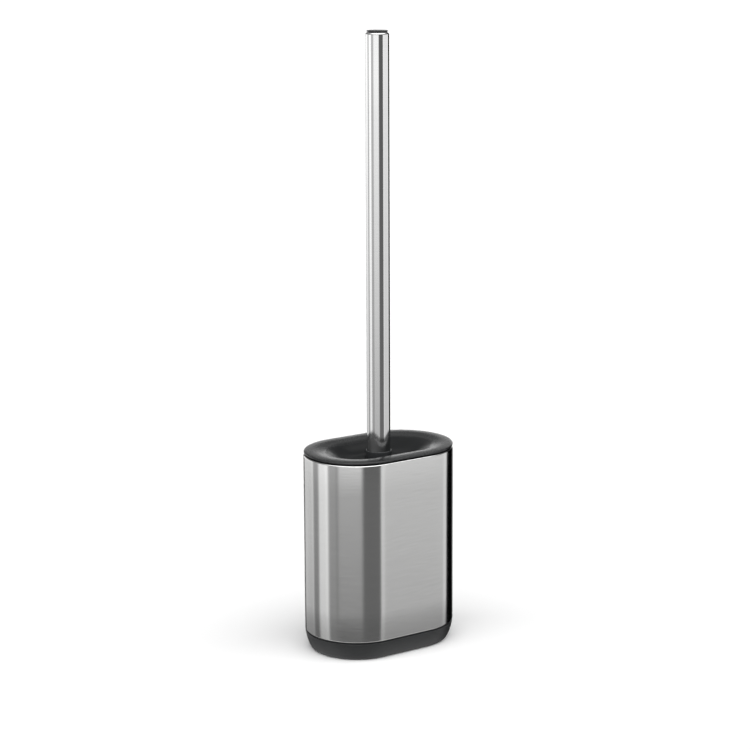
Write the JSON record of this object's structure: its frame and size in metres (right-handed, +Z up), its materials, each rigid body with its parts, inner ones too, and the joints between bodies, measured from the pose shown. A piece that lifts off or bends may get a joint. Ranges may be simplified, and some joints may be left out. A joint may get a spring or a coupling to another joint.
{
  "type": "toilet brush and holder",
  "caption": "Free-standing oblong steel toilet brush holder with a lift-out drip cup and a brush hung from its dished lid by a straight tube handle.",
  "frame": {"origin": "middle of the footprint, on the floor", "axes": "+X along the long side of the oblong, +Y across it, +Z up along the handle"},
  "size_m": [0.12, 0.08, 0.4628],
  "materials": {
    "brushed_sleeve": "brushed along the outline, satin",
    "handle_steel": "fine satin, close to polished",
    "charcoal_plastic": "moulded, fine texture, semi-matt",
    "liner_plastic": "moulded, plain",
    "collar_rubber": "smooth, slight sheen",
    "foot_rubber": "matt",
    "zinc_steel": "bright zinc plate",
    "bristles": "dark nylon filaments"
  },
  "bodies": {
    "holder": {"base": "charcoal_plastic", "sleeve": "brushed_sleeve", "inner_frame": "charcoal_plastic", "base_screw_1": "zinc_steel", "base_screw_2": "zinc_steel", "base_screw_3": "zinc_steel", "base_screw_4": "zinc_steel", "foot_pad_1": "foot_rubber", "foot_pad_2": "foot_rubber", "foot_pad_3": "foot_rubber", "foot_pad_4": "foot_rubber"},
    "liner": {"liner": "liner_plastic"},
    "brush": {"handle_tube": "handle_steel", "end_plug": "charcoal_plastic", "lid": "charcoal_plastic", "handle_collar": "collar_rubber", "stem": "charcoal_plastic", "tube_insert": "zinc_steel", "tie_bolt": "zinc_steel", "bolt_washer": "zinc_steel", "brush_core": "charcoal_plastic", "bristle_row_01": "bristles", "bristle_row_02": "bristles", "bristle_row_03": "bristles", "bristle_row_04": "bristles", "bristle_row_05": "bristles", "bristle_row_06": "bristles", "bristle_row_07": "bristles", "bristle_row_08": "bristles", "bristle_row_09": "bristles", "bristle_row_10": "bristles", "bristle_end": "bristles"}
  },
  "joints": [
    {"name": "liner_lift", "type": "slide", "parent": "holder", "child": "liner", "axis": [0, 0, 1], "range_m": [0, 0.16]},
    {"name": "brush_lift", "type": "slide", "parent": "liner", "child": "brush", "axis": [0, 0, 1], "range_m": [0, 0.16]}
  ]
}
